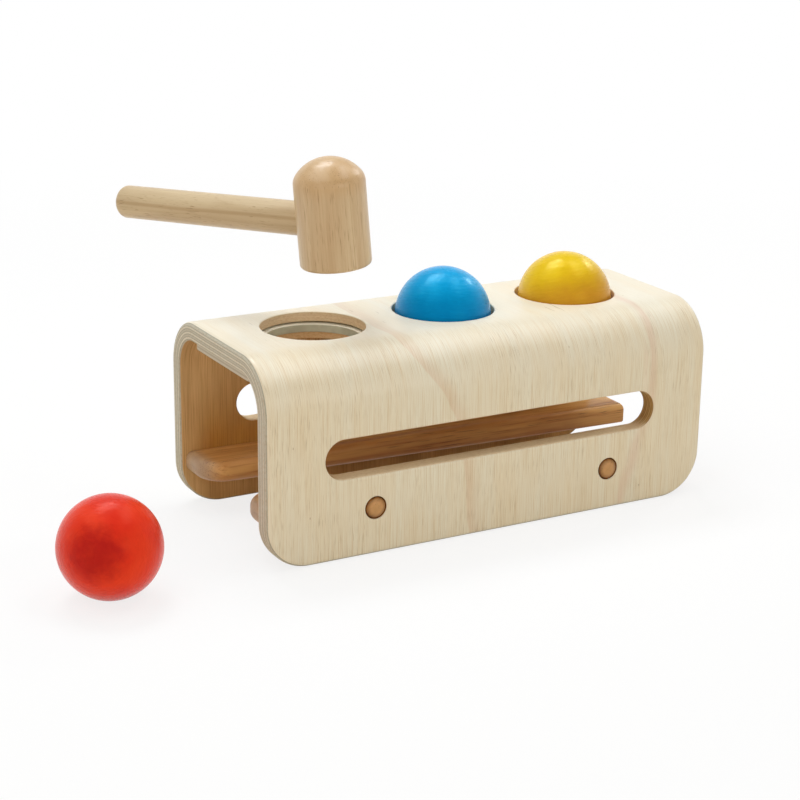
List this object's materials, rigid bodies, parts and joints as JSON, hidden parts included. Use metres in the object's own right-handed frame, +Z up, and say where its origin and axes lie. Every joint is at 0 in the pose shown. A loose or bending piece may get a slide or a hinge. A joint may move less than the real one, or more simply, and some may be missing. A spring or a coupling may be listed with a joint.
{
  "type": "ball pounding toy",
  "caption": "Wooden pounding toy: painted balls are struck through ringed holes in a bent plywood body and roll out along sloping rails, with a small hammer.",
  "frame": {"origin": "on the floor, at the middle of the front wall's foot", "axes": "+X along the body toward the low end of the rails, +Y from the front wall to the back wall, +Z up"},
  "size_m": [0.3256, 0.1793, 0.1694],
  "materials": {
    "bent_plywood": "pale satin veneer",
    "board_plywood": "plain plywood",
    "ring_rubber": "matt",
    "rail_wood": "satin",
    "pin_wood": "satin end grain",
    "red_paint": "satin paint",
    "blue_paint": "satin paint",
    "yellow_paint": "satin paint",
    "hammer_wood": "satin"
  },
  "bodies": {
    "toy_body": {"body_shell": "bent_plywood", "ring_board": "board_plywood", "ring_left": "ring_rubber", "ring_middle": "ring_rubber", "ring_right": "ring_rubber", "rail_front": "rail_wood", "rail_back": "rail_wood", "pin_front_left": "pin_wood", "pin_front_right": "pin_wood", "pin_back_left": "pin_wood", "pin_back_right": "pin_wood"},
    "blue_ball": {"ball_blue": "blue_paint"},
    "yellow_ball": {"ball_yellow": "yellow_paint"},
    "red_ball": {"ball_red": "red_paint"},
    "hammer": {"hammer_head": "hammer_wood", "hammer_handle": "hammer_wood"}
  },
  "joints": [
    {"name": "blue_ball_drop", "type": "slide", "parent": "toy_body", "child": "blue_ball", "axis": [0, 0, 1], "range_m": [-0.054, 0.045], "deforming": ["ring_middle"]},
    {"name": "yellow_ball_drop", "type": "slide", "parent": "toy_body", "child": "yellow_ball", "axis": [0, 0, 1], "range_m": [-0.055, 0.045], "deforming": ["ring_right"]},
    {"name": "red_ball_roll", "type": "slide", "parent": "toy_body", "child": "red_ball", "axis": [1, 0, 0], "range_m": [-0.08, 0.04]},
    {"name": "hammer_strike", "type": "slide", "parent": "toy_body", "child": "hammer", "axis": [0, 0, 1], "range_m": [-0.025, 0.06]}
  ]
}
